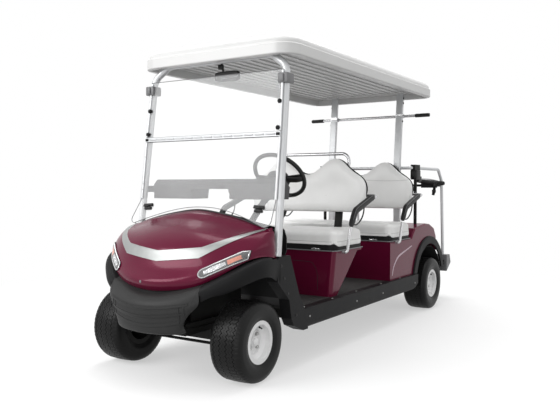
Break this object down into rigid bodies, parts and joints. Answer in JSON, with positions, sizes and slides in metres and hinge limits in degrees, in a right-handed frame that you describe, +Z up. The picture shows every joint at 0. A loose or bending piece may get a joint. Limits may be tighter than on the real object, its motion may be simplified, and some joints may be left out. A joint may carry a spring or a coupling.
{
  "type": "golf cart",
  "caption": "Electric golf cart with two bench seats, canopy roof, clear windshield, sloping nose, open sides and a bag rack behind the rear seat.",
  "frame": {"origin": "on the floor under the middle of the cart's bounding box", "axes": "+X to the cart's left, -Y to its front, +Z up"},
  "size_m": [1.176, 3.7544, 1.9949],
  "materials": {
    "body_paint": "metallic dark red paint",
    "silver_trim": "satin silver",
    "lamp_lens": "clear lens over bright reflectors",
    "black_plastic": "grained dark moulding",
    "chassis_black": "black paint",
    "silver_tube": "satin tube",
    "chrome_tube": "polished",
    "clear_sheet": "clear sheet",
    "white_roof": "white moulding",
    "white_vinyl": "white vinyl",
    "tyre_rubber": "black rubber",
    "white_rim": "white paint",
    "bare_steel": "machined steel",
    "rubber_mat": "ribbed mat",
    "mirror_black": "gloss black case",
    "grey_plastic": "light grey moulding",
    "lamp_red": "red lens"
  },
  "bodies": {
    "cart": {"chassis_frame": "chassis_black", "front_axle": "chassis_black", "rear_axle": "chassis_black", "battery_pack": "chassis_black", "front_cowl": "body_paint", "cowl_trim": "silver_trim", "headlamps": "lamp_lens", "front_bumper": "black_plastic", "front_fenders": "black_plastic", "front_liner": "black_plastic", "dashboard": "black_plastic", "steering_column": "chassis_black", "pedals": "bare_steel", "windshield_lower": "clear_sheet", "windshield_upper": "clear_sheet", "windshield_bar": "silver_tube", "front_hoop": "silver_tube", "rear_struts": "silver_tube", "roof": "white_roof", "mirror": "mirror_black", "grip_bar": "chrome_tube", "floor": "rubber_mat", "sills": "black_plastic", "front_seat_base": "body_paint", "front_backrest": "white_vinyl", "rear_backrest": "white_vinyl", "front_posts": "chassis_black", "front_rails": "chrome_tube", "rear_rails": "chrome_tube", "arm_pads": "black_plastic", "rear_body": "body_paint", "rear_flares": "black_plastic", "bag_rack": "silver_tube", "rack_posts": "chassis_black", "bag_holder": "black_plastic", "bag_deck": "black_plastic", "rear_bumper": "grey_plastic", "tail_lamps": "lamp_red"},
    "front_left_knuckle": {"knuckle_left": "chassis_black"},
    "front_right_knuckle": {"knuckle_right": "chassis_black"},
    "front_left_wheel": {"tyre_front_left": "tyre_rubber", "rim_front_left": "white_rim"},
    "front_right_wheel": {"tyre_front_right": "tyre_rubber", "rim_front_right": "white_rim"},
    "rear_left_wheel": {"tyre_rear_left": "tyre_rubber", "rim_rear_left": "white_rim"},
    "rear_right_wheel": {"tyre_rear_right": "tyre_rubber", "rim_rear_right": "white_rim"},
    "helm": {"steering_wheel": "black_plastic"},
    "steering_link": {"tie_rod": "bare_steel"},
    "front_lid": {"front_pan": "black_plastic", "front_cushion": "white_vinyl"},
    "rear_lid": {"rear_pan": "black_plastic", "rear_cushion": "white_vinyl"}
  },
  "joints": [
    {"name": "steer_left", "type": "hinge", "parent": "cart", "child": "front_left_knuckle", "pos_m": [0.335, -1.5, 0.2285], "axis": [0, 0, 1], "range_deg": [-28, 28]},
    {"name": "steer_right", "type": "hinge", "parent": "cart", "child": "front_right_knuckle", "pos_m": [-0.335, -1.5, 0.2285], "axis": [0, 0, 1], "range_deg": [-28, 28]},
    {"name": "wheel_front_left", "type": "hinge", "parent": "front_left_knuckle", "child": "front_left_wheel", "pos_m": [0.45, -1.5, 0.2285], "axis": [1, 0, 0], "continuous": true},
    {"name": "wheel_front_right", "type": "hinge", "parent": "front_right_knuckle", "child": "front_right_wheel", "pos_m": [-0.45, -1.5, 0.2285], "axis": [1, 0, 0], "continuous": true},
    {"name": "wheel_rear_left", "type": "hinge", "parent": "cart", "child": "rear_left_wheel", "pos_m": [0.467, 1.2, 0.2285], "axis": [1, 0, 0], "continuous": true},
    {"name": "wheel_rear_right", "type": "hinge", "parent": "cart", "child": "rear_right_wheel", "pos_m": [-0.467, 1.2, 0.2285], "axis": [1, 0, 0], "continuous": true},
    {"name": "steering_turn", "type": "hinge", "parent": "cart", "child": "helm", "pos_m": [0.219, -0.8, 1.162], "axis": [0, 0.7431, 0.6691], "range_deg": [-340, 340]},
    {"name": "link_slide", "type": "slide", "parent": "cart", "child": "steering_link", "axis": [1, 0, 0], "range_m": [-0.05, 0.05]},
    {"name": "front_lid_hinge", "type": "hinge", "parent": "cart", "child": "front_lid", "pos_m": [0, -0.155, 0.668], "axis": [-1, 0, 0], "range_deg": [0, 50]},
    {"name": "rear_lid_hinge", "type": "hinge", "parent": "cart", "child": "rear_lid", "pos_m": [0, 0.765, 0.668], "axis": [-1, 0, 0], "range_deg": [0, 50]}
  ],
  "couplings": [
    {"joint": "steer_right", "follows": "steer_left", "ratio": 1},
    {"joint": "steering_turn", "follows": "steer_left", "ratio": 12},
    {"joint": "link_slide", "follows": "steer_left", "m_per_rad": -0.098}
  ]
}
